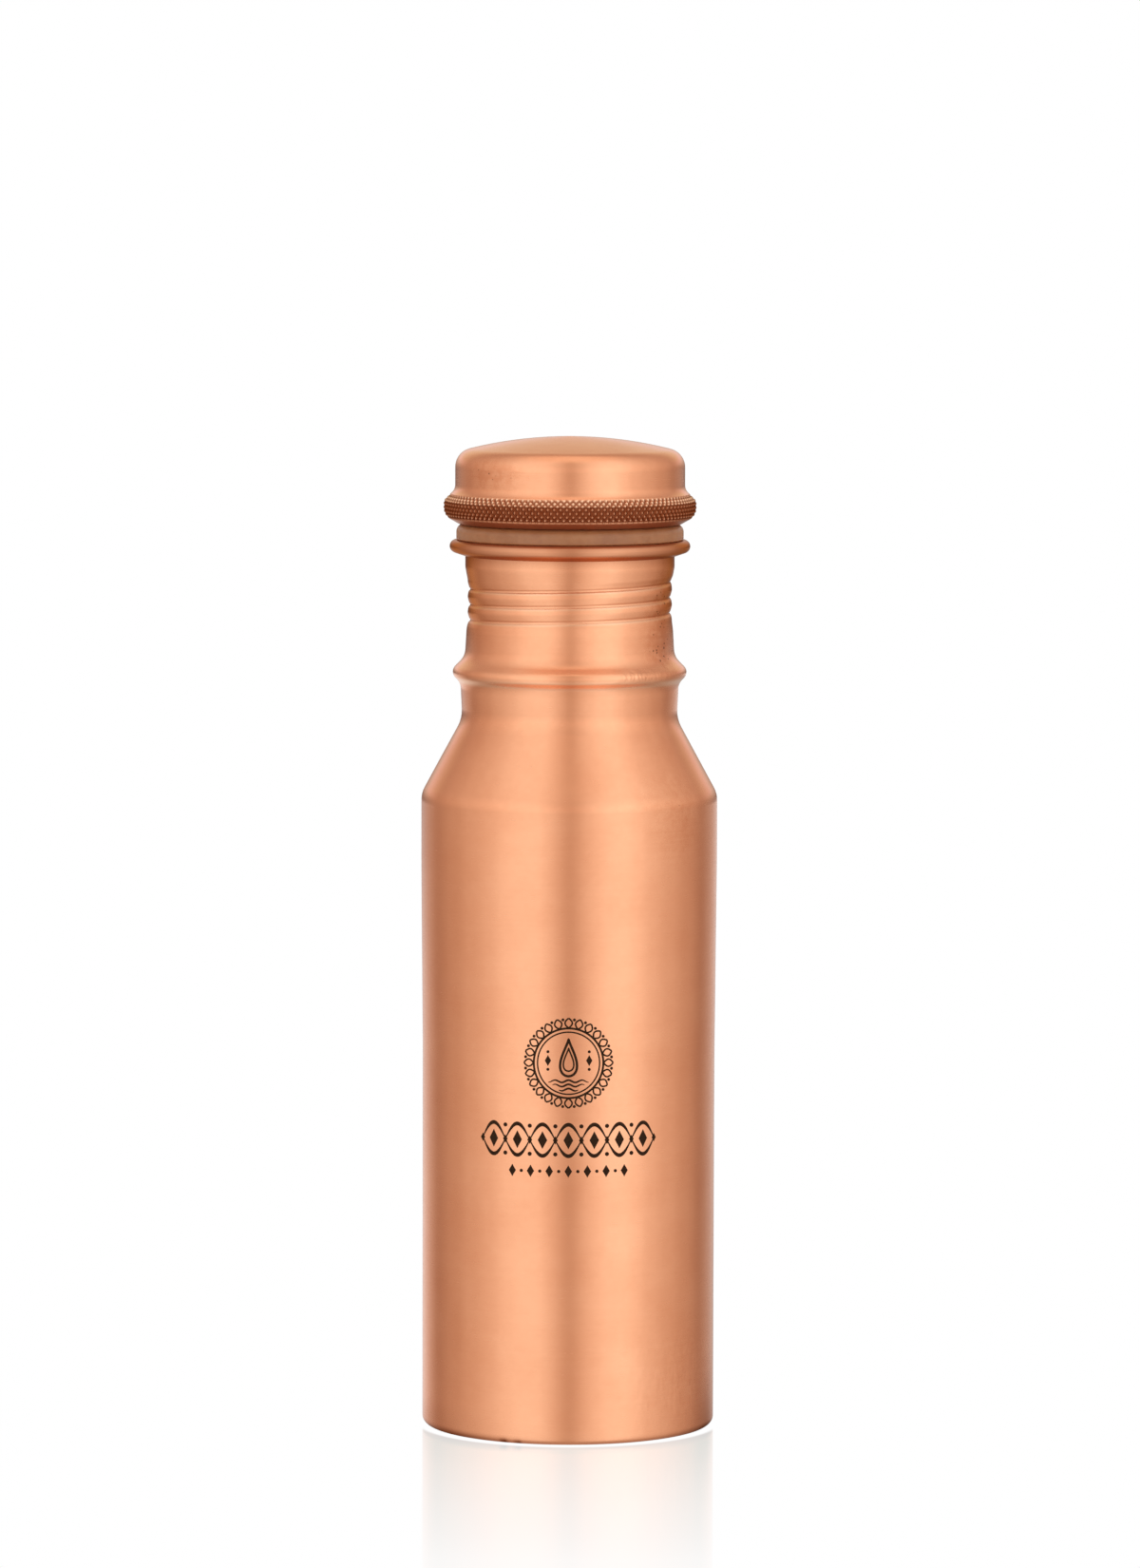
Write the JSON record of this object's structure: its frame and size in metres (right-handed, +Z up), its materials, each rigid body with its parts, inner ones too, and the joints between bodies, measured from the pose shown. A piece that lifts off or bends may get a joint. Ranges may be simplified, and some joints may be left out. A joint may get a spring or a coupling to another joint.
{
  "type": "copper water bottle",
  "caption": "Spun copper water bottle with sloping shoulder, ringed neck, rolled thread, domed screw cap with a knurled grip band and a silicone sealing ring.",
  "frame": {"origin": "centre of the foot, on the surface that the bottle stands on", "axes": "+Z up along the bottle's axis, -Y towards the printed front"},
  "size_m": [0.071, 0.071, 0.238],
  "materials": {
    "satin_copper": "satin brushed copper, fine marks round the axis",
    "plain_copper": "pickled copper, matt",
    "tin_solder": "food-grade tin, dull",
    "silicone": "translucent cream silicone"
  },
  "bodies": {
    "bottle": {"bottle_body": "satin_copper", "base_pan": "plain_copper", "base_solder_seam": "tin_solder"},
    "seal": {"cap_gasket": "silicone"},
    "cap": {"cap_shell": "satin_copper", "cap_plug": "plain_copper"}
  },
  "joints": [
    {"name": "cap_rise", "type": "slide", "parent": "bottle", "child": "seal", "axis": [0, 0, 1], "range_m": [0, 0.0297]},
    {"name": "cap_turn", "type": "hinge", "parent": "seal", "child": "cap", "pos_m": [0, 0, 0.2172], "axis": [0, 0, 1], "range_deg": [0, 2880]}
  ],
  "couplings": [
    {"joint": "cap_rise", "follows": "cap_turn", "m_per_rad": 0.00058887}
  ]
}
